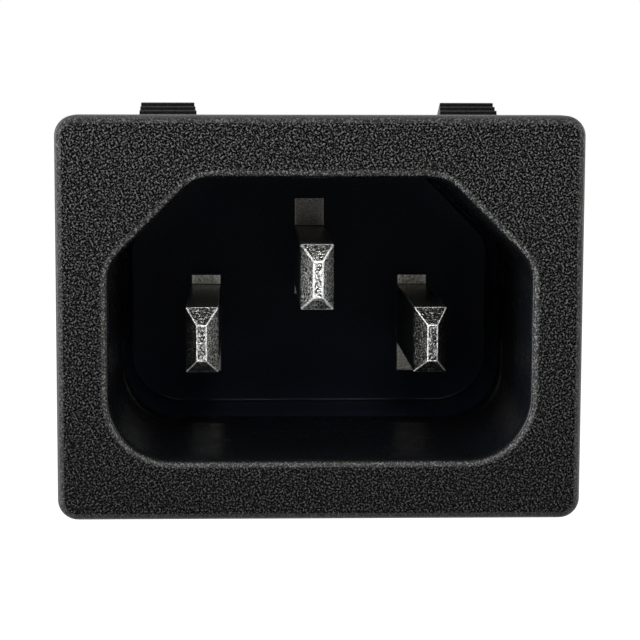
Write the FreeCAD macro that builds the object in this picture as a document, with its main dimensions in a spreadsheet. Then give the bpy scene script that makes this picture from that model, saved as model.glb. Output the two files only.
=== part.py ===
"""C14 appliance inlet for snapping into a rectangular panel cut-out.

Frame: +X to the right seen from the front, +Y rearward into the panel, +Z up.
The origin is the centre of the panel cut-out, in the plane of the flange's back
face, so the flange lies at Y < 0 and everything behind the panel at Y > 0.
"""
import FreeCAD, Part
import os
import re
import Sketcher

VERTEX = 1e-3

doc = FreeCAD.newDocument("PanelInlet")

# ---------------------------------------------------------------- driving sizes
SIZES = (
    # name, millimetres (or degrees), what it is
    ("flange_width", 30.7, "flange, across"),
    ("flange_height", 23.7, "flange, up"),
    ("flange_thickness", 2.3, "flange, front face to panel face"),
    ("flange_corner", 1.2, "radius of the flange's four corners"),
    ("flange_edge", 0.55, "radius round the flange's front edge"),
    ("cutout_gap", 0.1, "clearance of the shroud in its 27 x 20 mm panel cut-out"),
    ("panel_thickness", 1.5, "panel the fixed lugs are made for"),
    ("panel_gap", 0.1, "clearance between the panel and the fixed lugs"),
    ("recess_width", 24.55, "socket recess at its mouth, across"),
    ("recess_height", 16.45, "socket recess at its mouth, up"),
    ("recess_depth", 17.3, "flange front face to recess floor"),
    ("recess_chamfer", 5.05, "leg of the two keying chamfers at the top"),
    ("recess_blend", 2.4, "radius where a keying chamfer meets its neighbours"),
    ("recess_round", 3.7, "radius of the two lower recess corners"),
    ("recess_draft", 0.55, "draft of the recess walls, degrees"),
    ("rim_edge", 0.5, "radius round the recess mouth"),
    ("side_wall", 1.125, "shroud wall beside the recess mouth"),
    ("low_wall", 1.675, "shroud wall below the recess mouth"),
    ("top_wall", 1.2, "shroud wall above the recess mouth"),
    ("chamfer_wall", 1.2, "shroud wall along the keying chamfers"),
    ("shroud_corner", 0.8, "radius of the shroud's upper and rear edges"),
    ("floor_thickness", 2.4, "recess floor to the shroud's rear face"),
    ("collar_height", 1.0, "collar round each terminal behind the shroud"),
    ("collar_wall", 0.9, "wall of those collars"),
    ("collar_corner", 0.5, "radius of the collars' edges"),
    ("pin_pitch", 14.0, "line pin to neutral pin"),
    ("pin_drop", 2.0, "line and neutral pins below the centre"),
    ("earth_rise", 2.0, "earth pin above the centre"),
    ("pin_height", 4.0, "blade, up"),
    ("pin_thick", 2.0, "blade, across"),
    ("pin_setback", 4.1, "flange front face to the line and neutral tips"),
    ("earth_lead", 1.1, "earth tip in front of the other two"),
    ("tip_height", 2.2, "flat end of the bevelled tip, up"),
    ("tip_thick", 0.6, "flat end of the bevelled tip, across"),
    ("tip_length", 1.5, "length of the bevel"),
    ("shoulder_near", 0.7, "shoulder beyond the blade, on the side of the other pins"),
    ("shoulder_far", 1.95, "shoulder beyond the blade, on the outer side"),
    ("shoulder_proud", 0.12, "shoulder above the recess floor"),
    ("slot_gap", 0.02, "clearance of a terminal in its slot, each side"),
    ("stop_overhang", 0.5, "rear stop beyond the shoulder, each side"),
    ("stop_length", 0.8, "rear stop, along the terminal"),
    ("tab_width", 6.3, "quick-connect tab, up"),
    ("tab_thick", 0.8, "quick-connect tab, across"),
    ("tab_length", 7.9, "quick-connect tab behind its stop"),
    ("tab_lead", 1.1, "corner bevel at the tab's end"),
    ("tab_bevel", 0.25, "bevel of the tab's end faces"),
    ("tab_hole", 1.7, "detent hole in the tab, diameter"),
    ("tab_hole_back", 4.1, "detent hole to the tab's end"),
    ("latch_inner", 7.5, "centre plane to a snap latch"),
    ("latch_width", 3.3, "snap latch, across"),
    ("latch_thick", 0.8, "snap latch arm, through"),
    ("latch_crest", 2.5, "latch crest above the cut-out's edge"),
    ("latch_crest_back", 3.7, "panel face to the latch crest"),
    ("latch_ramp", 3.9, "length of the lead-in ramp behind the crest"),
    ("latch_ramp_drop", 2.05, "fall of the lead-in ramp"),
    ("latch_front_gap", 0.55, "panel face to the latch's free end"),
    ("latch_root_inset", 1.8, "latch root in front of the shroud's rear face"),
    ("latch_root_length", 3.2, "latch root, along the shroud"),
    ("latch_root_drop", 0.25, "top of the latch root below the cut-out's edge"),
    ("latch_gap", 0.2, "flexing gap between an arm and the shroud"),
    ("tooth_rise", 0.22, "step from one latch tooth to the next"),
    ("tooth_bevel", 0.10, "bevel at the top of each tooth"),
    ("tooth_count", 4, "teeth in front of the crest"),
    ("lug_offset", 7.0, "centre plane to the middle of a fixed lug"),
    ("lug_width", 4.0, "fixed lug, across"),
    ("lug_rise", 0.6, "fixed lug beyond the cut-out's edge"),
    ("lug_length", 4.5, "fixed lug, front face to the end of its ramp"),
)
sheet = doc.addObject("Spreadsheet::Sheet", "Sizes")
sheet.set("A1", "size")
sheet.set("B1", "value")
sheet.set("C1", "meaning")
for row, (name, value, meaning) in enumerate(SIZES, start=2):
    sheet.set("A%d" % row, name)
    sheet.set("B%d" % row, repr(value))
    sheet.set("C%d" % row, meaning)
    sheet.setAlias("B%d" % row, name)
doc.recompute()

NAMES = {name for name, value, meaning in SIZES}
# Places that several features share, each written once in terms of the sheet.
PLACES = {
    "floor_back": "recess_depth - flange_thickness",
    "rear_back": "recess_depth - flange_thickness + floor_thickness",
    "collar_back": "recess_depth - flange_thickness + floor_thickness + collar_height",
    "shroud_side": "recess_width / 2 + side_wall",
    "shroud_low": "recess_height / 2 + low_wall",
    "shroud_top": "recess_height / 2 + top_wall",
    # the cut-out's upper and lower edges, level about its centre
    "cutout_half": "recess_height / 2 + low_wall + cutout_gap",
    "recess_side": "recess_width / 2",
    "recess_top": "recess_height / 2",
    # a 45 degree chamfer is the line x + z = constant
    "recess_diagonal": "recess_width / 2 + recess_height / 2 - recess_chamfer",
    "shroud_diagonal": "recess_width / 2 + recess_height / 2 - recess_chamfer"
                       " + chamfer_wall * sqrt(2)",
    "shoulder_middle": "(shoulder_far - shoulder_near) / 2",
    "shoulder_half": "(pin_height + shoulder_near + shoulder_far) / 2",
    "crest_top": "recess_height / 2 + low_wall + cutout_gap + latch_crest",
    "root_back": "recess_depth - flange_thickness + floor_thickness - latch_root_inset",
    "root_front": "recess_depth - flange_thickness + floor_thickness - latch_root_inset"
                  " - latch_root_length",
    "root_top": "recess_height / 2 + low_wall + cutout_gap - latch_root_drop",
    "relief_top": "recess_height / 2 + low_wall + cutout_gap - latch_root_drop"
                  " - latch_thick - latch_gap",
    "tooth_pitch": "(latch_crest_back - latch_front_gap) / tooth_count",
}


def cells(text):
    """The expression with each named place and size turned into sheet cells."""
    text = re.sub(r"[a-z]+(?:_[a-z]+)+", lambda w: "(%s)" % PLACES[w.group()]
                  if w.group() in PLACES else w.group(), text)
    return re.sub(r"[a-z]+(?:_[a-z]+)+", lambda w: "Sizes." + w.group()
                  if w.group() in NAMES else w.group(), text)


def size(text):
    """The present value of an expression on the sheet."""
    return float(sheet.evalExpression(cells(text)))


def bind(thing, **properties):
    for prop, text in properties.items():
        thing.setExpression(prop.replace("__", "."), cells(text))


# ---------------------------------------------------------------- small helpers
def new_body(name, label):
    body = doc.addObject("PartDesign::Body", name)
    body.Label = label
    return body


def new_sketch(body, name, plane, offset=None):
    """An empty sketch on one of the body's origin planes.

    On XZ_Plane the sketch's axes are X and Z and its normal is -Y; on YZ_Plane
    they are Y and Z and the normal is +X. The offset is along the normal.
    """
    sketch = body.newObject("Sketcher::SketchObject", name)
    sketch.AttachmentSupport = [(next(f for f in body.Origin.OriginFeatures
                                      if f.Role == plane), "")]
    sketch.MapMode = "FlatFace"
    if offset:
        sketch.setExpression("AttachmentOffset.Base.z", cells(offset))
    return sketch


def add_outline(sketch, corners):
    """A closed run of lines whose corners are tied to the sheet."""
    first = sketch.GeometryCount
    spots = [(size(u), size(v)) for u, v in corners]
    lines = range(first, first + len(corners))
    for spot, after in zip(spots, spots[1:] + spots[:1]):
        sketch.addGeometry(Part.LineSegment(FreeCAD.Vector(*spot, 0),
                                            FreeCAD.Vector(*after, 0)))
    for line in lines:
        following = first + (line - first + 1) % len(corners)
        sketch.addConstraint(Sketcher.Constraint("Coincident", line, 2, following, 1))
    for line, spot, texts in zip(lines, spots, corners):
        for kind, value, text in zip(("DistanceX", "DistanceY"), spot, texts):
            which = sketch.addConstraint(
                Sketcher.Constraint(kind, -1, 1, line, 1, value))
            sketch.setExpression("Constraints[%d]" % which, cells(text))


def add_rectangle(sketch, left, right, low, high):
    add_outline(sketch, [(left, low), (right, low), (right, high), (left, high)])


def add_circle(sketch, across, up, diameter):
    circle = sketch.addGeometry(Part.Circle(
        FreeCAD.Vector(size(across), size(up), 0), FreeCAD.Vector(0, 0, 1),
        size(diameter) / 2))
    for kind, text in (("DistanceX", across), ("DistanceY", up)):
        which = sketch.addConstraint(
            Sketcher.Constraint(kind, -1, 1, circle, 3, size(text)))
        sketch.setExpression("Constraints[%d]" % which, cells(text))
    which = sketch.addConstraint(
        Sketcher.Constraint("Diameter", circle, size(diameter)))
    sketch.setExpression("Constraints[%d]" % which, cells(diameter))


def extrude(body, kind, name, sketch, length=None, reverse=False, **bound):
    """A Pad or a Pocket; with no length it is a Pocket through everything."""
    feature = body.newObject("PartDesign::" + kind, name)
    feature.Profile = sketch
    feature.Reversed = reverse
    if length is None:
        feature.Type = "ThroughAll"
    else:
        bind(feature, Length=length)
    bind(feature, **bound)
    doc.recompute()
    return feature


def symmetric(feature):
    """Makes a Pad or a Pocket reach equally far on both sides of its sketch."""
    feature.SideType = "Symmetric"
    doc.recompute()
    return feature


def edges(feature, wanted):
    """Names of the feature's edges for which wanted(edge) is true."""
    return ["Edge%d" % number for number, edge
            in enumerate(feature.Shape.Edges, start=1) if wanted(edge)]


def faces(feature, wanted):
    """Names of the feature's faces for which wanted(face) is true."""
    return ["Face%d" % number for number, face
            in enumerate(feature.Shape.Faces, start=1) if wanted(face)]


def round_off(body, name, wanted, radius):
    base = body.Tip
    feature = body.newObject("PartDesign::Fillet", name)
    feature.Base = (base, edges(base, wanted))
    bind(feature, Radius=radius)
    doc.recompute()
    return feature


def cut_corner(body, name, wanted, leg):
    base = body.Tip
    feature = body.newObject("PartDesign::Chamfer", name)
    feature.Base = (base, edges(base, wanted))
    bind(feature, Size=leg)
    doc.recompute()
    return feature


def mirror(body, name, original):
    """A copy of a feature on the other side of the YZ plane."""
    copy = body.newObject("PartDesign::Mirrored", name)
    copy.Originals = [original]
    copy.MirrorPlane = (next(f for f in body.Origin.OriginFeatures
                             if f.Role == "YZ_Plane"), [""])
    body.Tip = copy
    doc.recompute()


def near(value, other, slack=VERTEX):
    return abs(value - other) < slack


def runs_along_y(edge):
    """True for an edge from front to rear, drafted or not."""
    one, two = edge.Vertexes[0].Point, edge.Vertexes[-1].Point
    return abs(one.y - two.y) > 0.9 * edge.Length


def at_y(edge, value):
    return all(near(v.Point.y, value) for v in edge.Vertexes)


# ---------------------------------------------------------------- the housing
# One black moulding: flange, shroud, recess, floor, latches and lugs.
housing = new_body("Housing", "housing")

face = new_sketch(housing, "FlangeOutline", "XZ_Plane")
add_rectangle(face, "-flange_width / 2", "flange_width / 2",
              "-flange_height / 2", "flange_height / 2")
extrude(housing, "Pad", "Flange", face, "flange_thickness")
round_off(housing, "FlangeCorners", runs_along_y, "flange_corner")
round_off(housing, "FlangeFrontEdge",
          lambda e: at_y(e, -size("flange_thickness")), "flange_edge")

# The shroud behind the flange fills the cut-out, with the recess's own chamfers.
tube = new_sketch(housing, "ShroudOutline", "XZ_Plane")
add_outline(tube, [
    ("-shroud_side", "-shroud_low"),
    ("shroud_side", "-shroud_low"),
    ("shroud_side", "shroud_diagonal - shroud_side"),
    ("shroud_diagonal - shroud_top", "shroud_top"),
    ("-(shroud_diagonal - shroud_top)", "shroud_top"),
    ("-shroud_side", "shroud_diagonal - shroud_side"),
])
extrude(housing, "Pad", "Shroud", tube, "rear_back", reverse=True)
round_off(housing, "ShroudUpperEdges",
          lambda e: runs_along_y(e) and near(e.BoundBox.YMax, size("rear_back"))
          and e.BoundBox.ZMin > 0, "shroud_corner")
# The shroud is relieved under the two latch arms so that they can flex.
relief = new_sketch(housing, "LatchReliefOutlines", "XZ_Plane")
for left, right in (("latch_inner - latch_gap", "latch_inner + latch_width + latch_gap"),
                    ("-(latch_inner + latch_width + latch_gap)",
                     "-(latch_inner - latch_gap)")):
    add_rectangle(relief, left, right, "relief_top", "shroud_top + latch_gap")
extrude(housing, "Pocket", "LatchReliefs", relief, "root_front")

# A latch arm: root on the shroud at the rear, free toothed end at the panel.
# The teeth climb away from the panel, so one of them holds any thin panel.
arm = new_sketch(housing, "LatchProfile", "YZ_Plane", "latch_inner")
root_low = "shroud_diagonal - latch_inner - latch_width - chamfer_wall / 2"
profile = [
    ("root_front", "root_top - latch_thick"),
    ("root_front", root_low),
    ("root_back", root_low),
    ("root_back", "root_top"),
    ("root_front", "root_top"),
    ("latch_crest_back + latch_ramp", "crest_top - latch_ramp_drop"),
]
for tooth in range(int(size("tooth_count"))):
    rear = "latch_crest_back - tooth_pitch * %d" % tooth
    top = "crest_top - tooth_rise * %d" % tooth
    profile += [
        (rear, top),
        (rear + " - tooth_pitch + tooth_bevel", top),
        (rear + " - tooth_pitch", top + " - tooth_bevel"),
    ]
profile += [
    ("latch_front_gap", "crest_top - tooth_rise * tooth_count - latch_thick"),
    ("latch_crest_back", "crest_top - tooth_rise * tooth_count - latch_thick / 2"),
    ("latch_crest_back + latch_ramp", "crest_top - latch_ramp_drop - latch_thick"),
]
add_outline(arm, profile)
mirror(housing, "LeftLatchArm", extrude(housing, "Pad", "LatchArm", arm, "latch_width"))

# The recess for the connector, with its two keying chamfers at the top.
mouth = new_sketch(housing, "RecessOutline", "XZ_Plane", "flange_thickness")
add_outline(mouth, [
    ("-recess_side", "-recess_top"),
    ("recess_side", "-recess_top"),
    ("recess_side", "recess_diagonal - recess_side"),
    ("recess_diagonal - recess_top", "recess_top"),
    ("-(recess_diagonal - recess_top)", "recess_top"),
    ("-recess_side", "recess_diagonal - recess_side"),
])
recess = extrude(housing, "Pocket", "Recess", mouth, "recess_depth")


def in_recess(item):
    """True for a wall, or an edge between walls, from the mouth to the floor."""
    box = item.BoundBox
    return (near(box.YMin, -size("flange_thickness"), 0.01)
            and near(box.YMax, size("floor_back"), 0.01)
            and max(abs(box.XMin), abs(box.XMax)) < size("recess_side") + VERTEX
            and max(abs(box.ZMin), abs(box.ZMax)) < size("recess_top") + VERTEX)


# The walls draw in towards the floor so that the core leaves the mould.
draft = housing.newObject("PartDesign::Draft", "RecessDraft")
draft.Base = (recess, faces(recess, in_recess))
draft.NeutralPlane = (recess, faces(recess, lambda f: at_y(f, -size("flange_thickness"))))
draft.Reversed = True
draft.Angle = size("recess_draft")
doc.recompute()
bind(draft, Angle="recess_draft")
doc.recompute()
round_off(housing, "RecessLowerCorners",
          lambda e: in_recess(e) and e.BoundBox.ZMax < 0, "recess_round")
round_off(housing, "RecessChamferBlends",
          lambda e: in_recess(e) and e.BoundBox.ZMin > 0, "recess_blend")
round_off(housing, "RecessRim",
          lambda e: at_y(e, -size("flange_thickness"))
          and max(abs(e.BoundBox.XMin), abs(e.BoundBox.XMax))
          < size("recess_side") + VERTEX
          and max(abs(e.BoundBox.ZMin), abs(e.BoundBox.ZMax))
          < size("recess_top") + VERTEX, "rim_edge")

# The shroud's lower edges go round the same corners as the recess.
round_off(housing, "ShroudLowerEdges",
          lambda e: runs_along_y(e) and near(e.BoundBox.YMax, size("rear_back"))
          and near(e.BoundBox.ZMax, -size("shroud_low")), "recess_round + chamfer_wall")
round_off(housing, "ShroudRearEdge",
          lambda e: at_y(e, size("rear_back")), "shroud_corner")

# A fixed lug under the shroud hooks behind the panel's lower edge.
hook = new_sketch(housing, "LugProfile", "YZ_Plane", "lug_offset - lug_width / 2")
lug_front = "panel_thickness + panel_gap"
add_outline(hook, [
    (lug_front, "-(shroud_low - cutout_gap - chamfer_wall / 4)"),
    (lug_front, "-(cutout_half + lug_rise)"),
    (lug_front + " + lug_length / 4", "-(cutout_half + lug_rise)"),
    (lug_front + " + lug_length", "-shroud_low"),
    (lug_front + " + lug_length", "-(shroud_low - cutout_gap - chamfer_wall / 4)"),
])
mirror(housing, "LeftFixedLug", extrude(housing, "Pad", "FixedLug", hook, "lug_width"))

# A collar stands round each terminal on the rear face, and a slot goes through.
TERMINALS = (
    # label, across, up, half a turn over, tip in front of the others
    ("line_terminal", "-pin_pitch / 2", "-pin_drop", False, "0"),
    ("neutral_terminal", "pin_pitch / 2", "-pin_drop", False, "0"),
    ("earth_terminal", "0", "earth_rise", True, "earth_lead"),
)
collars = new_sketch(housing, "CollarOutlines", "XZ_Plane", "-rear_back")
slots = new_sketch(housing, "SlotOutlines", "XZ_Plane", "-floor_back")
for label, across, up, turned, lead in TERMINALS:
    middle = "(%s %s shoulder_middle)" % (up, "+" if turned else "-")
    for sketch, wall in ((collars, "slot_gap + collar_wall"), (slots, "slot_gap")):
        reach, rise = "(pin_thick / 2 + %s)" % wall, "(shoulder_half + %s)" % wall
        add_rectangle(sketch, across + " - " + reach, across + " + " + reach,
                      middle + " - " + rise, middle + " + " + rise)
extrude(housing, "Pad", "Collars", collars, "collar_height", reverse=True)
round_off(housing, "CollarCorners",
          lambda e: runs_along_y(e) and near(e.BoundBox.YMax, size("collar_back"))
          and near(e.BoundBox.YMin, size("rear_back")), "collar_corner")
extrude(housing, "Pocket", "TerminalSlots", slots)


# ---------------------------------------------------------------- the terminals
def terminal(label, across, up, turned, lead):
    """One nickel-plated stamping: bevelled blade, shoulder, stop and rear tab.

    Its own frame has the blade's axis along Y and the recess floor at Y = 0,
    with the longer shoulder downward; the earth terminal is turned over.
    """
    name = label.split("_")[0].capitalize()
    body = new_body(name, label)
    straight = "(recess_depth - pin_setback + %s - tip_length)" % lead
    through = "(floor_thickness + collar_height)"
    blade = new_sketch(body, name + "Profile", "YZ_Plane")
    half, low, high = "pin_height / 2", "-shoulder_far", "shoulder_near"
    add_outline(blade, [
        ("-" + straight, "-%s" % half),
        ("-shoulder_proud", "-%s" % half),
        ("-shoulder_proud", "-%s - shoulder_far" % half),
        (through, "-%s - shoulder_far" % half),
        (through, "-%s - shoulder_far - stop_overhang" % half),
        (through + " + stop_length", "-%s - shoulder_far - stop_overhang" % half),
        (through + " + stop_length", "%s + shoulder_near + stop_overhang" % half),
        (through, "%s + shoulder_near + stop_overhang" % half),
        (through, "%s + shoulder_near" % half),
        ("-shoulder_proud", "%s + shoulder_near" % half),
        ("-shoulder_proud", half),
        ("-" + straight, half),
    ])
    symmetric(extrude(body, "Pad", name + "Blade", blade, "pin_thick"))

    # The bevelled tip runs from the blade's section to a small flat.
    sections = []
    for suffix, back, thick, height in (
            ("TipBase", straight, "pin_thick", "pin_height"),
            ("TipFlat", straight + " + tip_length", "tip_thick", "tip_height")):
        section = new_sketch(body, name + suffix, "XZ_Plane", back)
        add_rectangle(section, "-%s / 2" % thick, "%s / 2" % thick,
                      "-%s / 2" % height, "%s / 2" % height)
        sections.append(section)
    tip = body.newObject("PartDesign::AdditiveLoft", name + "Tip")
    tip.Profile = sections[0]
    tip.Sections = sections[1:]
    tip.Ruled = True
    doc.recompute()

    # The tab takes a receptacle; its end is bevelled and it has a detent hole.
    tab = new_sketch(body, name + "TabProfile", "YZ_Plane")
    tab_end = through + " + stop_length + tab_length"
    add_rectangle(tab, through + " + stop_length / 2", tab_end,
                  "-shoulder_middle - tab_width / 2", "-shoulder_middle + tab_width / 2")
    symmetric(extrude(body, "Pad", name + "Tab", tab, "tab_thick"))
    cut_corner(body, name + "TabLead",
               lambda e: at_y(e, size(tab_end)) and near(e.BoundBox.ZMin, e.BoundBox.ZMax),
               "tab_lead")
    cut_corner(body, name + "TabBevel",
               lambda e: at_y(e, size(tab_end)) and near(e.BoundBox.XMin, e.BoundBox.XMax),
               "tab_bevel")
    detent = new_sketch(body, name + "TabHole", "YZ_Plane")
    add_circle(detent, tab_end + " - tab_hole_back", "-shoulder_middle", "tab_hole")
    hole = extrude(body, "Pocket", name + "Detent", detent, "pin_thick")
    symmetric(hole)

    body.Placement = FreeCAD.Placement(
        FreeCAD.Vector(), FreeCAD.Rotation(FreeCAD.Vector(0, 1, 0), 180 if turned else 0))
    bind(body, Placement__Base__x=across, Placement__Base__y="floor_back",
         Placement__Base__z=up)
    return body


bodies = [housing] + [terminal(*row) for row in TERMINALS]
doc.recompute()

# ---------------------------------------------------------------- checks, export
failed = [thing.Name for thing in doc.Objects
          if any(state in ("Invalid", "Error") for state in thing.State)]
if failed:
    raise SystemExit("failed features: " + ", ".join(failed))
for body in bodies:
    shape = body.Shape
    if shape.isNull() or not shape.isValid() or len(shape.Solids) != 1:
        raise SystemExit("%s is not one valid solid" % body.Label)
    print("%-18s %9.2f mm3, %4d faces, %s" % (body.Label, shape.Volume,
                                              len(shape.Faces), shape.BoundBox))

os.makedirs("parts", exist_ok=True)
for body in bodies:
    body.Shape.exportStep("parts/%s.step" % body.Label)
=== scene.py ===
import math
import bmesh
import bpy
import numpy as np
from mathutils import Matrix


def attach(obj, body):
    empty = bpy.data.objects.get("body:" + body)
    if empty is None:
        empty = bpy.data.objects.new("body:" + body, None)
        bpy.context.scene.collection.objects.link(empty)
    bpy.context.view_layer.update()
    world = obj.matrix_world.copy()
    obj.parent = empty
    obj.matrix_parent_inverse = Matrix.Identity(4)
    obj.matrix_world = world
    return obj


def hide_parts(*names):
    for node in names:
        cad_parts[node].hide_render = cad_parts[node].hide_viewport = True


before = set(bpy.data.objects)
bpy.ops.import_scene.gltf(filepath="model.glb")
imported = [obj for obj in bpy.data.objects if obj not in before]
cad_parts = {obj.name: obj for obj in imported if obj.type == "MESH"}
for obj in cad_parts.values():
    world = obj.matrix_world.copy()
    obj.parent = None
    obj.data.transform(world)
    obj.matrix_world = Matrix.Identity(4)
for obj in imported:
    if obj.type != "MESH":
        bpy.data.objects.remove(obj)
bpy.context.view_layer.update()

# ------------------------------------------------------------------ studio
# White surround, weaker for soft shade, and an unlit room behind the camera for
# what the plating reflects. Four softboxes stand above, at both sides and
# behind, over a pale floor well below, as the socket is fixed in a panel.
MM = 0.001
scene = bpy.context.scene
scene.view_settings.view_transform = "Standard"


def add_node(tree, kind, sockets=(), **settings):
    """New shader node of a kind.

    The settings go on the node itself. Each socket, by name or number, is given
    a value, or is linked where what it is given is another node's output."""
    node = tree.nodes.new("ShaderNode" + kind)
    for setting, value in settings.items():
        setattr(node, setting, value)
    for socket, value in dict(sockets).items():
        if isinstance(value, bpy.types.NodeSocket):
            tree.links.new(value, node.inputs[socket])
        else:
            node.inputs[socket].default_value = value
    return node


def reckoned(tree, operation, *terms, **settings):
    """Result of one operation on its terms, which are numbers or outputs."""
    return add_node(tree, "Math", enumerate(terms), operation=operation, **settings).outputs[0]


def mapped(tree, value, start, end, low, high, **settings):
    """Value carried from the range start to end onto low to high, and held at
    low and high beyond it."""
    node = add_node(tree, "MapRange", {"Value": value, "From Min": start, "From Max": end,
                                       "To Min": low, "To Max": high}, **settings)
    return node.outputs["Result"]


def split_parts(tree, vector):
    """The three parts of a vector, as outputs X, Y and Z."""
    return add_node(tree, "SeparateXYZ", {0: vector}).outputs


world = bpy.data.worlds.new("white_surround")
world.use_nodes = True
scene.world = world
sky = world.node_tree
sky.nodes.clear()
ray = add_node(sky, "LightPath").outputs
heading = split_parts(sky, add_node(sky, "TexCoord").outputs["Generated"])
unlit_room = mapped(sky, heading["Y"], -0.95, -0.45, 0.13, 1.0, interpolation_type="SMOOTHSTEP")
brightness = add_node(sky, "Mix", {"Factor": ray["Is Glossy Ray"], "A": 1.0, "B": unlit_room})
seen = add_node(sky, "Background", {"Color": (1, 1, 1, 1), "Strength": brightness.outputs["Result"]})
shade = add_node(sky, "Background", {"Color": (0.90, 0.95, 1.0, 1), "Strength": 0.38})
seen_or_mirrored = reckoned(sky, "MAXIMUM", ray["Is Camera Ray"], ray["Is Glossy Ray"])
any_seen = reckoned(sky, "MAXIMUM", seen_or_mirrored, ray["Is Transmission Ray"])
surround = add_node(sky, "MixShader", {"Fac": any_seen, 1: shade.outputs[0], 2: seen.outputs[0]})
add_node(sky, "OutputWorld", {"Surface": surround.outputs[0]})


def softbox(name, place, aim, size, watts, tint):
    """A rectangular area lamp at place whose face looks at aim.

    Its axes are the line from aim to place, the level line square to that, and
    the line square to both."""
    lamp = bpy.data.lights.new(name, "AREA")
    lamp.shape = "RECTANGLE"
    lamp.size, lamp.size_y = size
    lamp.energy = watts
    lamp.color = tint
    thing = bpy.data.objects.new(name, lamp)
    scene.collection.objects.link(thing)
    back = np.subtract(place, aim)
    back = back / np.linalg.norm(back)
    side = np.cross((0, 0, 1), back)
    side = side / np.linalg.norm(side)
    stand = np.eye(4)
    stand[:3] = np.stack((side, np.cross(back, side), back, place), 1)
    thing.matrix_world = Matrix(stand.tolist())
    thing.visible_camera = False
    return thing


softbox("softbox_top", place=(-0.018, -0.052, 0.062), aim=(0, -0.002, 0.002),
        size=(0.10, 0.03), watts=0.098, tint=(1.0, 0.99, 0.97))
softbox("softbox_left", place=(-0.28, -0.044, 0.05), aim=(0, 0, 0),
        size=(0.085, 0.30), watts=2.0, tint=(0.95, 0.98, 1.0))
softbox("softbox_right", place=(0.30, -0.03, 0.03), aim=(0, 0, 0),
        size=(0.14, 0.28), watts=1.1, tint=(1.0, 0.98, 0.95))
rear_softbox = softbox("softbox_rear", place=(0.12, 0.27, 0.05), aim=(0, 0.01, 0),
                       size=(0.50, 0.40), watts=1.1, tint=(1.0, 1.0, 1.0))
rear_softbox.visible_glossy = False

bpy.ops.mesh.primitive_plane_add(size=4.0, location=(0, 0, -0.15))
floor = bpy.context.object
floor.name = "pale_floor"
pale = bpy.data.materials.new("pale_floor")
pale.use_nodes = True
cover = pale.node_tree
cover.nodes.clear()
ray = add_node(cover, "LightPath").outputs
spot = split_parts(cover, add_node(cover, "TexCoord").outputs["Object"])
dark_in_front = mapped(cover, spot["Y"], 0.10, 0.60, 0.02, 0.80)
mirrored = reckoned(cover, "MULTIPLY", ray["Is Glossy Ray"], dark_in_front)
lift = add_node(cover, "Emission", {
    "Strength": reckoned(cover, "MULTIPLY_ADD", ray["Is Camera Ray"], 0.85, mirrored)})
matt_white = add_node(cover, "BsdfDiffuse", {"Color": (0.70, 0.70, 0.70, 1)})
both = add_node(cover, "AddShader", {0: matt_white.outputs[0], 1: lift.outputs[0]})
add_node(cover, "OutputMaterial", {"Surface": both.outputs[0]})
floor.data.materials.append(pale)

# A short telephoto lens, a hand's breadth in front of the flange and a little
# above and to the left of its middle. Its three turns are in radians.
TIP, SWING, ROLL = 0.0936, 0.0265, -0.0021
STAND_AT = np.array((-4.4595, -98.9335, 13.942)) * MM


def turned_about(axis, angle):
    """Rotation about one axis: the cosine on the diagonal of the other two, and
    the sine off it, once with each sign."""
    one, two = (axis + 1) % 3, (axis + 2) % 3
    turn = np.eye(3)
    turn[one, one] = turn[two, two] = math.cos(angle)
    turn[two, one] = math.sin(angle)
    turn[one, two] = -turn[two, one]
    return turn


lens = bpy.data.cameras.new("front_camera")
lens.sensor_width = 36.0
lens.lens = 94.69
lens.shift_x, lens.shift_y = 0.05, -0.13
lens.clip_start, lens.clip_end = 0.01, 5.0
camera = bpy.data.objects.new("front_camera", lens)
scene.collection.objects.link(camera)
level_axes = turned_about(2, ROLL) @ turned_about(0, TIP) @ turned_about(1, SWING)
stand = np.eye(4)
stand[:3, :3] = level_axes[:, 0], -level_axes[:, 2], level_axes[:, 1]
stand[:3, 3] = STAND_AT
camera.matrix_world = Matrix(stand.tolist())
scene.camera = camera

# ------------------------------------------------------------------ housing
# The one-piece moulding in black glass-filled polyamide: flange, keyed socket
# recess and the shroud behind the panel. The mould leaves a spark-eroded grain
# on the flange's face and a polished finish on its edges and in the recess.
# Painted into these colours: shade inside the recess, a highlight along the rim's lip, a bluish
# reflection on the edges and the recess floor, and shade, glints and raking light in the grain.


ARC_POINTS = 25                  # on each rounded corner
SHARP = 32                       # degrees


def corner_line(sides, radii, inset):
    """Closed outline of a convex polygon with rounded corners.

    Each side is the line at a distance from the centre along its outward
    normal; the inset moves it inward. The corner between two sides is the arc
    whose centre lies one radius inside both."""
    turn = np.radians([angle for angle, distance in sides])
    reach = np.array([distance for angle, distance in sides], float) - np.asarray(inset, float)
    small = np.maximum(np.array(radii, float) - np.mean(inset), 1e-4)
    line = []
    for k in range(len(sides)):
        n = (k + 1) % len(sides)
        a, b = turn[k], turn[n]
        if b < a:
            b += 2 * np.pi
        normals = np.array(((np.cos(a), np.sin(a)), (np.cos(b), np.sin(b))))
        middle = np.linalg.solve(normals, (reach[k] - small[k], reach[n] - small[k]))
        arc = np.linspace(a, b, ARC_POINTS)
        line.append(middle + small[k] * np.stack((np.cos(arc), np.sin(arc)), 1))
    return np.concatenate(line)


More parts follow.
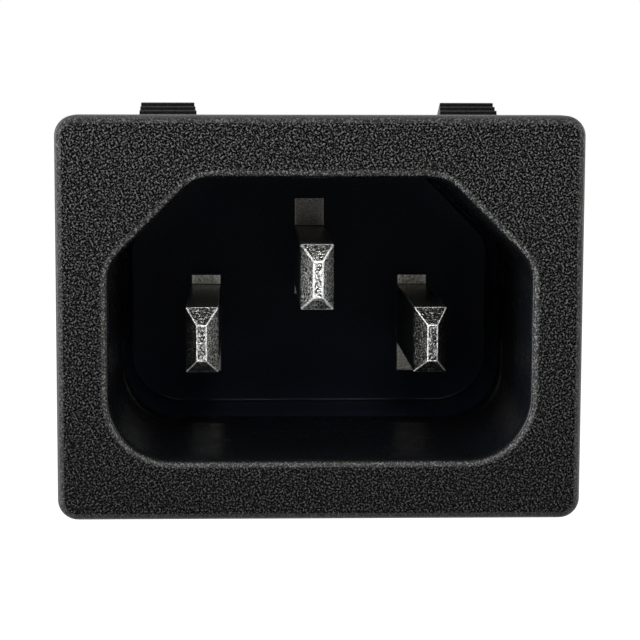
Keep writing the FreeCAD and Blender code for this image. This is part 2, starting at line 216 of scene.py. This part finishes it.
def ray_reach(line, theta):
    """Distance from the centre to the outline along each ray.

    The ray at an angle crosses the chord p-q at cross(p, q) divided by
    cos(angle) times the chord's rise less sin(angle) times its run."""
    angle = np.unwrap(np.arctan2(line[:, 1], line[:, 0]))
    angle -= 2 * np.pi * np.floor(angle[0] / (2 * np.pi))
    loop = np.concatenate((line, line[:1]))
    ends = np.append(angle, angle[0] + 2 * np.pi)
    at = np.mod(theta - ends[0], 2 * np.pi) + ends[0]
    k = np.clip(np.searchsorted(ends, at, "right") - 1, 0, len(line) - 1)
    p, q = loop[k], loop[k + 1]
    cross = p[:, 0] * q[:, 1] - p[:, 1] * q[:, 0]
    spread = np.cos(at) * (q[:, 1] - p[:, 1]) - np.sin(at) * (q[:, 0] - p[:, 0])
    return cross / spread


def new_piece(name, points, faces, materials, shares=None):
    """Object from points in millimetres; shares gives each face its material.
    Its shading is smooth, but for edges sharper than SHARP degrees."""
    mesh = bpy.data.meshes.new(name)
    mesh.from_pydata((np.asarray(points) * MM).tolist(), [], faces)
    for material in materials:
        mesh.materials.append(material)
    if shares is not None:
        mesh.polygons.foreach_set("material_index", np.asarray(shares, np.int32))
    mesh.validate()
    thing = bpy.data.objects.new(name, mesh)
    scene.collection.objects.link(thing)
    mesh.shade_smooth()
    mesh.set_sharp_from_angle(angle=math.radians(SHARP))
    return thing


def ring_faces(rings, around, closed_ends):
    """Quads between successive rings of points, wound outward, and a fan to
    each end point when the rings close on one at both ends."""
    i, j = np.meshgrid(np.arange(rings - 1), np.arange(around), indexing="ij")
    a, b = i * around + j, i * around + (j + 1) % around
    quads = np.stack((a, a + around, b + around, b), -1).reshape(-1, 4).tolist()
    if not closed_ends:
        return quads
    j = np.arange(around)
    n = (j + 1) % around
    first, last = rings * around, rings * around + 1
    start = np.stack((np.full(around, first), j, n), 1).tolist()
    stop = (rings - 1) * around
    end = np.stack((np.full(around, last), stop + n, stop + j), 1).tolist()
    return quads + start + end


def new_finish(name):
    """A named material: its node tree, its shader and the Object coordinates."""
    material = bpy.data.materials.new(name)
    material.use_nodes = True
    tree = material.node_tree
    place = add_node(tree, "TexCoord").outputs["Object"]
    return material, tree, tree.nodes["Principled BSDF"], place


def tone_ramp(tree, value, *stops):
    """Colour that runs through stops, each a place from 0 to 1 and a tone."""
    ramp = add_node(tree, "ValToRGB", {"Fac": value})
    elements = ramp.color_ramp.elements
    for element, (at, tone) in zip(elements, (stops[0], stops[-1])):
        element.position, element.color = at, (*tone, 1)
    for at, tone in stops[1:-1]:
        elements.new(at).color = (*tone, 1)
    return ramp.outputs["Color"]


GRAIN_TURN = 0.47                # radians
RAKING_LIGHT_FAINT_AT, RAKING_LIGHT_STRONG_AT = -11.0, 8.0            # heights between which the grain's colour swing grows, as painted raking light from above


def moulded_black(name, tones, cell, depth, rough, gloss, spread=0.20):
    """Black polyamide straight from the mould.

    Height: a fractal noise, cell wide, less a half, times 0.5 over spread at
    the flange's upper edge and half as much at its lower one, plus a half, and
    held from 0 to 1; the colour's wider swing towards the top is painted
    raking light from above. Colour: three tones over that height, pit, flat
    and crest. The grain is the moulding's own; its near-black pits are painted
    shade and its bright crests painted glints.
    Relief: the same height times depth. Roughness: rough, give or take a tenth
    by a slow noise. The noise's cells are turned off the moulding's axes."""
    material, tree, shader, place = new_finish(name)
    askew = add_node(tree, "Mapping", {"Vector": place, "Rotation": (0, GRAIN_TURN, 0)})
    spark = add_node(tree, "TexNoise", {"Vector": askew.outputs["Vector"],
                                        "Scale": 1 / (cell * MM), "Detail": 3.0})
    # the grain's colour swing grows towards the top: painted raking light from above
    width = mapped(tree, split_parts(tree, place)["Z"], RAKING_LIGHT_FAINT_AT * MM, RAKING_LIGHT_STRONG_AT * MM,
                   0.25 / spread, 0.50 / spread)
    above = reckoned(tree, "SUBTRACT", spark.outputs["Fac"], 0.5)
    height = reckoned(tree, "MULTIPLY_ADD", above, width, 0.5, use_clamp=True)
    pit, flat, crest = tones
    colour = tone_ramp(tree, height, (0.20, pit), (0.50, flat), (0.95, crest))
    tree.links.new(colour, shader.inputs["Base Color"])
    relief = add_node(tree, "Bump", {"Height": height, "Distance": depth * MM})
    tree.links.new(relief.outputs["Normal"], shader.inputs["Normal"])

    slow = add_node(tree, "TexNoise", {"Vector": place, "Scale": 420.0, "Detail": 2.0})
    matt = mapped(tree, slow.outputs["Fac"], 0.3, 0.7, 0.9 * rough, 1.1 * rough)
    tree.links.new(matt, shader.inputs["Roughness"])
    shader.inputs["Specular IOR Level"].default_value = gloss
    return material


# Near-black pits and bright crests on the flange's grain: painted shade and painted glints over the
# real grain.
flange_grain = moulded_black(
    "flange_grain",
    ((0.0001, 0.0001, 0.0001), (0.0030, 0.0030, 0.0032), (0.1240, 0.1225, 0.1210)),
    cell=0.115, depth=0.070, rough=0.60, gloss=0.01)
edge_grain = moulded_black(
    "edge_grain",
    ((0.0040, 0.0040, 0.0039), (0.0155, 0.0151, 0.0144), (0.0800, 0.0780, 0.0740)),
    cell=0.115, depth=0.050, rough=0.55, gloss=0.10)
# The bluish cast of the edges' tones is a painted reflection of the sky.
polished_edge = moulded_black(
    "polished_edge",
    ((0.0050, 0.0055, 0.0064), (0.0130, 0.0140, 0.0158), (0.0300, 0.0315, 0.0340)),
    cell=0.100, depth=0.012, rough=0.50, gloss=0.26)
rim_finish = moulded_black(
    "rim_finish",
    ((0.0003, 0.0003, 0.0003), (0.0045, 0.0044, 0.0042), (0.1200, 0.1180, 0.1120)),
    cell=0.115, depth=0.060, rough=0.50, gloss=0.10, spread=0.18)
# A lighter band round the rim's rounding: a painted highlight line along the lip.
rim_lip_highlight = moulded_black(
    "rim_lip_highlight",
    ((0.0020, 0.0020, 0.0020), (0.0200, 0.0197, 0.0190), (0.1600, 0.1580, 0.1520)),
    cell=0.115, depth=0.040, rough=0.42, gloss=0.20)
# Darker tones for the recess walls, the same moulding: painted shade inside the recess.
recess_gloss_and_shade = moulded_black(
    "recess_gloss_and_shade",
    ((0.0012, 0.0013, 0.0017), (0.0023, 0.0025, 0.0032), (0.0056, 0.0060, 0.0070)),
    cell=0.100, depth=0.004, rough=0.27, gloss=0.09)
# The bluish tone of the recess floor and its deep walls is a painted reflection.
recess_floor = moulded_black(
    "recess_floor",
    ((0.0050, 0.0064, 0.0120), (0.0080, 0.0100, 0.0180), (0.0130, 0.0155, 0.0250)),
    cell=0.100, depth=0.004, rough=0.24, gloss=0.09)
shroud_black = moulded_black(
    "shroud_black",
    ((0.0020, 0.0020, 0.0022), (0.0042, 0.0042, 0.0046), (0.0100, 0.0100, 0.0110)),
    cell=0.140, depth=0.012, rough=0.44, gloss=0.16)
finishes = (polished_edge, flange_grain, rim_finish, recess_gloss_and_shade, rim_lip_highlight,
            edge_grain, recess_floor, shroud_black)
EDGE, GRAIN, RIM, GLOSS_AND_SHADE, LIP_HIGHLIGHT, ROUND, DEEP, BODY = range(len(finishes))

# depths back from the panel's face, and radii
FLANGE_FRONT, POCKET_END, SHROUD_REAR, FLOOR_AT = -2.3, 12.4, 17.4, 15.0
FRONT_EDGE, BACK_EDGE, RIM_EDGE, REAR_EDGE, FOOT_EDGE = 0.55, 0.04, 0.5, 0.8, 0.2
FLANGE_RADIUS = 1.2
DRAFT = math.tan(math.radians(0.55))
FLOOR_INSET = 0.166              # what the draft has taken in at the floor
WITNESS = 0.03                   # how far the mould's parting ring stands out
POCKET_X, POCKET_Z = 7.3, 8.75   # where the latch pockets in the shroud begin

# outlines: for each side the way it faces, in degrees, and its distance; a
# key is the cut upper corner's distance across plus its distance up
RECESS_SIDE, RECESS_HEIGHT, RECESS_KEY = 12.275, 8.225, 15.45
SHROUD_SIDE, SHROUD_TOP, SHROUD_LOW, SHROUD_KEY = 13.4, 9.425, 9.9, 17.147
FLANGE = ((0, 15.35), (90, 11.85), (180, 15.35), (270, 11.85))
FLANGE_CORNERS = (FLANGE_RADIUS,) * 4
RECESS = ((0, RECESS_SIDE), (45, RECESS_KEY / 2 ** 0.5), (90, RECESS_HEIGHT),
          (135, RECESS_KEY / 2 ** 0.5), (180, RECESS_SIDE), (270, RECESS_HEIGHT))
RECESS_CORNERS = (2.4, 2.4, 2.4, 2.4, 3.7, 3.7)
SHROUD = ((0, SHROUD_SIDE), (45, SHROUD_KEY / 2 ** 0.5), (90, SHROUD_TOP),
          (135, SHROUD_KEY / 2 ** 0.5), (180, SHROUD_SIDE), (270, SHROUD_LOW))
SHROUD_CORNERS = (0.8, 0.8, 0.8, 0.8, 4.9, 4.9)

# the rays: every half degree, and those through the latch pockets' corners
pocket_corners = ((POCKET_X, POCKET_Z), (POCKET_X, SHROUD_TOP),
                  (SHROUD_KEY - POCKET_Z, POCKET_Z))
rays = np.unique(np.concatenate((
    np.radians(np.arange(0, 360, 0.5)),
    [math.atan2(z, side * x) for side in (1, -1) for x, z in pocket_corners])))


def pocketed(reach, theta):
    """The shroud's reach along each ray, or, where it is less, the further of
    the distances at which the ray is POCKET_X across and POCKET_Z up, where it
    comes into a latch pocket."""
    across = POCKET_X / np.maximum(np.abs(np.cos(theta)), 1e-6)
    up = POCKET_Z / np.maximum(np.sin(theta), 1e-6)
    return np.minimum(reach, np.maximum(across, np.where(np.sin(theta) > 0, up, 1e3)))


rings = []          # (reach along each ray, depth, finish of the faces before it)


def ring(sides, corners, inset, depth, finish, pocket=False):
    """Adds one station: an outline moved inward by inset, at a depth."""
    reach = ray_reach(corner_line(sides, corners, inset), rays)
    rings.append((pocketed(reach, rays) if pocket else reach, depth, finish))


def banded(turn, bands, beyond):
    """Finish of the first band whose limit the turn hasn't reached."""
    return next((finish for limit, finish in bands if turn < limit), beyond)


def quarter(steps):
    """Angles of a quarter turn, in radians, from 0."""
    return np.radians(np.linspace(0, 90, steps))


outer_rear = ray_reach(corner_line(SHROUD, SHROUD_CORNERS, REAR_EDGE), rays)
for share in (0.25, 0.5, 0.75):                       # rear face
    rings.append((outer_rear * share, SHROUD_REAR, BODY))
for turn in quarter(7):                               # its rounded edge
    ring(SHROUD, SHROUD_CORNERS, REAR_EDGE * (1 - math.sin(turn)),
         SHROUD_REAR - REAR_EDGE * (1 - math.cos(turn)), BODY)
for depth in (14.5, POCKET_END):                      # sides, behind the pockets
    ring(SHROUD, SHROUD_CORNERS, 0, depth, BODY)
for depth in np.linspace(POCKET_END, 0, 5):           # sides, with the pockets
    ring(SHROUD, SHROUD_CORNERS, 0, depth, BODY, pocket=True)
ring(FLANGE, FLANGE_CORNERS, FLANGE_RADIUS, 0.0, BODY)     # back of the flange
for turn in quarter(5):                               # its nearly sharp edge
    ring(FLANGE, FLANGE_CORNERS, BACK_EDGE * (1 - math.sin(turn)),
         -BACK_EDGE * (1 - math.cos(turn)), BODY)
for depth in (-0.1, -0.9, -1.69):                     # side of the flange
    ring(FLANGE, FLANGE_CORNERS, 0, depth, EDGE)
for turn in quarter(9)[::-1]:                         # rounded front edge
    ring(FLANGE, FLANGE_CORNERS, FRONT_EDGE * (1 - math.sin(turn)),
         FLANGE_FRONT + FRONT_EDGE * (1 - math.cos(turn)),
         banded(turn, ((0.15, GRAIN), (0.75, ROUND)), EDGE))
flange_in = rings[-1][0]
rim_out = ray_reach(corner_line(RECESS, RECESS_CORNERS, -RIM_EDGE), rays)
for share in np.linspace(0, 1, 7)[1:]:                # grained front face
    rings.append((flange_in + (rim_out - flange_in) * share, FLANGE_FRONT, GRAIN))
for turn in quarter(11)[1:]:                          # rounded rim, with a painted highlight along its lip
    ring(RECESS, RECESS_CORNERS, -RIM_EDGE * (1 - math.sin(turn)),
         FLANGE_FRONT + RIM_EDGE * (1 - math.cos(turn)),
         banded(turn, ((0.2, RIM), (0.7, LIP_HIGHLIGHT), (0.9, RIM)), GLOSS_AND_SHADE))
for depth, proud in ((-1.0, 0), (0.4, 0), (2.2, 0), (4.0, 0), (5.8, 0), (7.3, 0), (8.2, 0),
                     (8.26, WITNESS), (8.36, WITNESS), (8.42, 0), (10.0, 0), (12.0, 0), (13.6, 0)):
    ring(RECESS, RECESS_CORNERS, (depth - FLANGE_FRONT) * DRAFT + proud, depth,
         DEEP if depth > 10 else GLOSS_AND_SHADE)               # drafted recess wall, darker as painted shade, bluish deeper in as a painted reflection
for turn in quarter(5):                               # small radius at the floor
    ring(RECESS, RECESS_CORNERS,
         FLOOR_INSET + FOOT_EDGE * (1 - math.cos(turn)),
         FLOOR_AT - FOOT_EDGE * (1 - math.sin(turn)), DEEP)
floor_edge = rings[-1][0]
for share in (0.85, 0.7, 0.5, 0.3, 0.12):             # recess floor
    rings.append((floor_edge * share, FLOOR_AT, DEEP))

reach = np.array([along for along, depth, finish in rings])
depth = np.array([depth for along, depth, finish in rings])[:, None] + 0 * reach
shell_points = np.stack((reach * np.cos(rays), depth, reach * np.sin(rays)), -1).reshape(-1, 3)
shell_points = np.concatenate((shell_points, ((0, SHROUD_REAR, 0), (0, FLOOR_AT, 0))))
face_finish = [finish for along, depth, finish in rings[1:]] + [BODY, DEEP]
housing_shell = new_piece("housing_shell", shell_points,
                          ring_faces(len(rings), len(rays), True), finishes,
                          np.repeat(face_finish, len(rays)))
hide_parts("housing")
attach(housing_shell, "root")

# ------------------------------------------------------------------ latches
# Two sprung arms moulded with the shroud, rooted near its rear and running
# forward above it. Their saw teeth bite behind the panel's edge, so the socket
# holds in panels of several thicknesses.


def soften(thing, width):
    """Rounds every edge sharper than 30 degrees by the given width."""
    bevel = thing.modifiers.new("edge", "BEVEL")
    bevel.width = width * MM
    bevel.segments = 2
    bevel.limit_method = "ANGLE"
    bevel.angle_limit = math.radians(30)
    bevel.harden_normals = True


def carried_across(profile, stations):
    """Profile of (depth, height) points, one for all the stations or one for
    each, carried along X through them, with a flat face at each end."""
    profile = np.asarray(profile, float)
    if profile.ndim == 2:
        profile = np.repeat(profile[None], len(stations), 0)
    x = np.asarray(stations, float)
    x = x if x.ndim == 2 else x[:, None] + 0 * profile[..., 0]
    points = np.stack((x, profile[..., 0], profile[..., 1]), -1).reshape(-1, 3)
    count = profile.shape[1]
    faces = ring_faces(len(stations), count, False)
    last = (len(stations) - 1) * count
    return points, faces + [list(range(count)), list(range(last + count - 1, last - 1, -1))]


def outward(thing):
    """Turns every face of a closed mesh outward."""
    work = bmesh.new()
    work.from_mesh(thing.data)
    bmesh.ops.recalc_face_normals(work, faces=work.faces)
    work.to_mesh(thing.data)
    work.free()
    return thing


latch_black = moulded_black(
    "latch_black",
    ((0.0010, 0.0010, 0.0012), (0.0020, 0.0020, 0.0023), (0.0045, 0.0045, 0.0052)),
    cell=0.120, depth=0.006, rough=0.38, gloss=0.15)
HEAD_REAR, CREST, HEAD_LENGTH = 3.7, 12.5, 3.15
TOOTH_PITCH, TOOTH_DROP, TOOTH_CHAMFER = 0.7875, 0.22, 0.04
ARM_BEND, BEND_TAPER_LENGTH = 7.6, 3.6
LATCH_INNER, LATCH_OUTER = 7.5, 10.8        # its two sides, and their tapers
INNER_TAPER, OUTER_TAPER = 0.34, 0.17
ROOT_REAR = 15.6
ROOT_KEY = 16.3                  # across plus up, just inside SHROUD_KEY
teeth = []
for step in range(4):
    rear, top = HEAD_REAR - TOOTH_PITCH * step, CREST - TOOTH_DROP * step
    teeth += [(rear, top), (rear - TOOTH_PITCH + TOOTH_CHAMFER, top),
              (rear - TOOTH_PITCH, top - TOOTH_CHAMFER)]
# (depth, height) from the root, over the arm, down the teeth and back below;
# the root's own two heights, 0 here, follow the shroud's slope and come after
arm = np.array([(POCKET_END, 8.95), (POCKET_END, 0), (ROOT_REAR, 0), (ROOT_REAR, 9.75),
                (POCKET_END, 9.75), (ARM_BEND, 10.45)] + teeth
               + [(HEAD_REAR - HEAD_LENGTH, 10.82), (HEAD_REAR, 11.22), (ARM_BEND, 9.65)])
into_head = np.clip((HEAD_REAR - arm[:, 0]) / HEAD_LENGTH, 0, 1)
past_bend = np.clip((ARM_BEND - arm[:, 0]) / BEND_TAPER_LENGTH, 0, 1)
inner = LATCH_INNER - INNER_TAPER * into_head
outer = LATCH_OUTER - OUTER_TAPER * past_bend
across = inner + (outer - inner) * np.linspace(0, 1, 4)[:, None]
arms = np.repeat(arm[None], len(across), 0)
arms[:, 1:3, 1] = ROOT_KEY - across[:, 1:3]
for side, name in ((-1, "left_latch"), (1, "right_latch")):
    latch = outward(new_piece(name, *carried_across(arms, side * across), (latch_black,)))
    soften(latch, 0.02)
    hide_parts("housing")
    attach(latch, "root")

# ------------------------------------------------------------------ lugs
# Two short fixed lugs moulded under the shroud, with a lead-in ramp at the
# rear. They hook behind the cut-out's lower edge before the latches snap in.
LUG_TOP, LUG_TIP = -9.5, -10.6
lug_profile = ((1.6, LUG_TOP), (1.6, LUG_TIP), (2.725, LUG_TIP), (6.1, -9.9), (6.1, LUG_TOP))
lug_across = np.array((5.0, 7.0, 9.0))
for side, name in ((-1, "left_lug"), (1, "right_lug")):
    lug = outward(new_piece(name, *carried_across(lug_profile, side * lug_across), (latch_black,)))
    soften(lug, 0.06)
    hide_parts("housing")
    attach(lug, "root")

# ------------------------------------------------------------------ collars
# Three raised collars moulded on the rear face, one round each terminal's
# slot. Their rounded edges give the pressed-in terminal a longer seat.
PIN_X, PIN_Z = 7.0, 2.0          # line and neutral below the middle, earth above
SLOT_LOW = 0.625                 # how far a slot's middle is off its blade's
COLLAR_START, COLLAR_END, COLLAR_EDGE = 17.2, 18.4, 0.5
COLLAR_SIDE, COLLAR_TOP = 1.92, 4.245
COLLAR = ((0, COLLAR_SIDE), (90, COLLAR_TOP), (180, COLLAR_SIDE), (270, COLLAR_TOP))
collar_rays = np.radians(np.arange(0, 360, 3.0))
stations = [(0.0, COLLAR_START), (0.0, 17.6)]
stations += [(COLLAR_EDGE * (1 - math.cos(turn)),
              COLLAR_END - COLLAR_EDGE * (1 - math.sin(turn))) for turn in quarter(7)]
collar_reach = np.array([ray_reach(corner_line(COLLAR, (COLLAR_EDGE,) * 4, inset), collar_rays)
                         for inset, depth in stations])
collar_reach = np.concatenate((collar_reach, collar_reach[-1:] * 0.5))
collar_depth = np.array([depth for inset, depth in stations] + [COLLAR_END])[:, None]
for name, x, z in (("line_collar", -PIN_X, -PIN_Z - SLOT_LOW),
                   ("earth_collar", 0, PIN_Z + SLOT_LOW),
                   ("neutral_collar", PIN_X, -PIN_Z - SLOT_LOW)):
    points = np.stack((x + collar_reach * np.cos(collar_rays), collar_depth + 0 * collar_reach,
                       z + collar_reach * np.sin(collar_rays)), -1).reshape(-1, 3)
    points = np.concatenate((points, ((x, COLLAR_START, z), (x, COLLAR_END, z))))
    faces = ring_faces(len(collar_reach), len(collar_rays), True)
    collar = outward(new_piece(name, points, faces, (shroud_black,)))
    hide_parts("housing")
    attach(collar, "root")

# ------------------------------------------------------------------ terminals
# Line, neutral and earth: brass stampings plated with matt nickel, each one a
# bevelled blade, a shoulder at the recess floor, a stop behind the collar and
# a flat tab with a detent hole. They are pressed in from the rear.
BEVEL_END, SHOULDER_AT, STOP_AT, STOP_END = 1.5, 14.88, 18.4, 19.2
COINED_FADE = 0.3                # length over which the coined texture fades
SHANK_SHARE = 0.2                # of that texture, kept behind the tip
MOTTLE_SCALE, PIT_SCALE = 7600.0, 6000.0    # cells of the noises in a metre
MIDDLE = 0.505                   # the depths with the shoulder's plain tone, painted light and a painted warm reflection
SHOULDER_MIDDLE, SHOULDER_HALF = 14.9, 0.4  # the depths with the plain tone
# The shoulder's warmer tint is a painted reflection. Behind the recess floor the plating turns to
# its own tone, without the painted light of the socket.
REFLECTED_WARMTH = (1.0, 0.94, 0.86)
OWN_PLATE_FROM, OWN_PLATE_ALL = 16.0, 17.0
OWN_PLATE_TONE = (0.400, 0.395, 0.380, 1)


def mixed_tone(tree, share, first, second):
    """Colour that goes from first to second with the share, by the Mix node's
    sockets for colours, numbers 6 and 7 in and 2 out."""
    return add_node(tree, "Mix", {0: share, 6: first, 7: second}, data_type="RGBA").outputs[2]


def nickel_plate(name, tint, dark, rough, pit, tip_depth, shoulder, metal=1.0):
    """Matt nickel over stamped brass.

    Colour: from dark times the tint to 1.6 times the tint, 1 at most, over a
    fine noise that keeps a fifth of its swing behind the coined tip. The
    piece's shoulder is plain, shoulder times a warmer tint: painted light and
    a painted warm reflection, brighter or dimmer by how light reaches it in
    the recess. Behind the recess floor the plating turns to its own tone,
    without that painted light. Roughness: rough, less where the noise is
    high, plus the faces' own dull_side. Relief: a pitted noise, pit deep on
    the tip and a fifth of that behind it. With metal under 1, for the painted
    highlights on the edges, that share is metallic at the tip and all behind
    it, with no dull_side."""
    material, tree, shader, place = new_finish(name)
    along = split_parts(tree, place)["Y"]
    tip_end = tip_depth + BEVEL_END
    coined = mapped(tree, along, tip_end * MM, (tip_end + COINED_FADE) * MM, 1.0, SHANK_SHARE)

    mottle = add_node(tree, "TexNoise", {"Vector": place, "Scale": MOTTLE_SCALE, "Detail": 4.0})
    about = reckoned(tree, "SUBTRACT", mottle.outputs["Fac"], MIDDLE)
    calmed = reckoned(tree, "MULTIPLY_ADD", about, coined, MIDDLE)
    low = [dark * part for part in tint]
    high = [min(1.0, 1.6 * part) for part in tint]
    mottled = tone_ramp(tree, calmed, (0.43, low), (0.58, high))
    # the shoulder's tone is painted light and a painted warm reflection; behind the floor the
    # plating has its own tone
    warm = [min(1.0, shoulder * part * share) for part, share in zip(tint, REFLECTED_WARMTH)]
    at_shoulder = reckoned(tree, "COMPARE", along, SHOULDER_MIDDLE * MM, SHOULDER_HALF * MM)
    in_socket = mixed_tone(tree, at_shoulder, mottled, (*warm, 1))
    behind = mapped(tree, along, OWN_PLATE_FROM * MM, OWN_PLATE_ALL * MM, 0.0, 1.0)
    tone = mixed_tone(tree, behind, in_socket, OWN_PLATE_TONE)
    tree.links.new(tone, shader.inputs["Base Color"])

    matt = mapped(tree, mottle.outputs["Fac"], 0.3, 0.7, rough + 0.08, rough - 0.06)
    if metal < 1:
        part_metal = mapped(tree, coined, 1.0, SHANK_SHARE, metal, 1.0)
        tree.links.new(part_metal, shader.inputs["Metallic"])
    else:
        shader.inputs["Metallic"].default_value = 1.0
        dull = add_node(tree, "Attribute", attribute_name="dull_side")
        matt = reckoned(tree, "ADD", matt, dull.outputs["Fac"])
    tree.links.new(matt, shader.inputs["Roughness"])

    pits = add_node(tree, "TexNoise", {"Vector": place, "Scale": PIT_SCALE, "Detail": 3.0,
                                       "Distortion": 0.3})
    stretched = mapped(tree, pits.outputs["Fac"], 0.38, 0.62, 0.0, 1.0)
    relief = add_node(tree, "Bump", {"Height": reckoned(tree, "MULTIPLY", stretched, coined),
                                     "Distance": pit * MM})
    tree.links.new(relief.outputs["Normal"], shader.inputs["Normal"])
    return material


# (depth, half thickness, half height below the axis, half height above it)
blade_from_tip = ((0.0, 0.3, 1.1, 1.1), (BEVEL_END, 1.0, 2.0, 2.0))
shank = ((SHOULDER_AT, 1.0, 2.0, 2.0), (SHOULDER_AT, 1.0, 3.95, 2.7), (STOP_AT, 1.0, 3.95, 2.7),
         (STOP_AT, 1.0, 4.45, 3.2), (STOP_END, 1.0, 4.45, 3.2))

# the tab, seen from the side about its detent hole: rear, bevels, front
HOLE_AT, HOLE_RADIUS = 23.0, 0.85
TAB_HALF, TAB_THICK, TAB_THIN = 3.15, 0.4, 0.16
TAB_REAR, TAB_FRONT, LEAD_IN = 4.1, 4.2, 1.1
tab_bevel = (TAB_REAR + TAB_HALF - LEAD_IN) / 2 ** 0.5
TAB = ((0, TAB_REAR), (45, tab_bevel), (90, TAB_HALF), (180, TAB_FRONT), (270, TAB_HALF),
       (315, tab_bevel))
TAB_CORNERS = (1e-3,) * len(TAB)
TAB_LEAD = np.array((0.25, 0.12, 0.0, 0.0, 0.0, 0.12))
upper_corners = ((TAB_REAR, TAB_HALF - LEAD_IN), (TAB_REAR - LEAD_IN, TAB_HALF),
                 (-TAB_FRONT, TAB_HALF))
tab_rays = np.unique(np.concatenate((
    np.radians(np.arange(0, 360, 6.0)),
    [math.atan2(side * up, back) % (2 * math.pi) for side in (1, -1)
     for back, up in upper_corners])))


def terminal_mesh(x, z, flip, tip):
    """Blade: rectangles carried back from the tip through the shoulder and the
    stop. Tab: a closed ring of stations round the detent hole, out over one
    side to the outline, across the thickness and back over the other side."""
    rows = np.array([(tip + back, *halves) for back, *halves in blade_from_tip] + list(shank))
    depth, thick, low, high = rows.T
    corners = np.stack((np.stack((-thick, depth, -low * flip), -1),
                        np.stack((thick, depth, -low * flip), -1),
                        np.stack((thick, depth, high * flip), -1),
                        np.stack((-thick, depth, high * flip), -1)), 1)
    blade = corners.reshape(-1, 3) + (x, 0, z)
    last = 4 * (len(rows) - 1)
    faces = ring_faces(len(rows), 4, False) + [[0, 1, 2, 3], [last + 3, last + 2, last + 1, last]]

    outline = ray_reach(corner_line(TAB, TAB_CORNERS, 0), tab_rays)
    led = ray_reach(corner_line(TAB, TAB_CORNERS, TAB_LEAD), tab_rays)
    hole = np.full(len(tab_rays), HOLE_RADIUS)
    reach = np.array((hole, led, outline, outline, led, hole))
    side = np.array((-TAB_THICK, -TAB_THICK, -TAB_THIN, TAB_THIN, TAB_THICK, TAB_THICK))
    tab = np.stack((x + side[:, None] + 0 * reach, HOLE_AT + reach * np.cos(tab_rays),
                    z - SLOT_LOW * flip + reach * np.sin(tab_rays)), -1).reshape(-1, 3)
    count, around = reach.shape
    i, j = np.meshgrid(np.arange(count), np.arange(around), indexing="ij")
    a, b = i * around + j, i * around + (j + 1) % around
    c, d = (i + 1) % count * around + (j + 1) % around, (i + 1) % count * around + j
    quads = np.stack((a, b, c, d), -1).reshape(-1, 4) + len(blade)
    return np.concatenate((blade, tab)), faces + quads.tolist()


# each stamping's X and Z, which way up it is, and how far its tip stands back
# from the panel's face
SEATS = {"line": (-PIN_X, -PIN_Z, 1, 1.8),
         "neutral": (PIN_X, -PIN_Z, 1, 1.8),
         "earth": (0, PIN_Z, -1, 0.7)}
# the plating's grey, which differs by pole as painted light and shade, the
# shoulder's multiple of it, painted light and shade too, how much duller the
# left and the right bevel are, and the edges' width and the grey of their
# painted highlight
PLATE_LIGHT_AND_WEAR = {"line": (0.39, 2.75, (0.0, 0.28), 0.058, 0.80),
        "neutral": (0.215, 4.2, (0.15, 0.0), 0.050, 0.62),
        "earth": (0.60, 0.36, (0.27, 0.20), 0.088, 1.0)}
LEFT_BEVEL, RIGHT_BEVEL = 3, 1   # their places among a stamping's faces
for pole in ("line", "neutral", "earth"):
    x, z, flip, tip = SEATS[pole]
    grey, shoulder, dullness, edge_width, shine = PLATE_LIGHT_AND_WEAR[pole]
    # the plate's grey per pole is painted light and shade, and the near-white edges are a painted
    # highlight
    plate = nickel_plate(pole + "_plate", (grey, grey, 0.97 * grey), dark=0.10,
                         rough=0.29, pit=0.060, tip_depth=tip, shoulder=shoulder)
    edge_highlight = nickel_plate(pole + "_edge", (shine, 0.99 * shine, 0.975 * shine), dark=0.60,
                             rough=0.36, pit=0.003, tip_depth=tip, shoulder=0.4, metal=0.05)
    stamping = new_piece(pole + "_stamping", *terminal_mesh(x, z, flip, tip), (plate, edge_highlight))
    face_dullness = np.zeros(len(stamping.data.polygons), np.float32)
    face_dullness[[LEFT_BEVEL, RIGHT_BEVEL]] = dullness
    dull_side = stamping.data.attributes.new("dull_side", "FLOAT", "FACE")
    dull_side.data.foreach_set("value", face_dullness)
    outward(stamping)
    soften(stamping, edge_width)
    stamping.modifiers["edge"].material = 1
    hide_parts(pole + "_terminal")
    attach(stamping, "root")

# ------------------------------------------------------------------ end
bpy.context.view_layer.update()
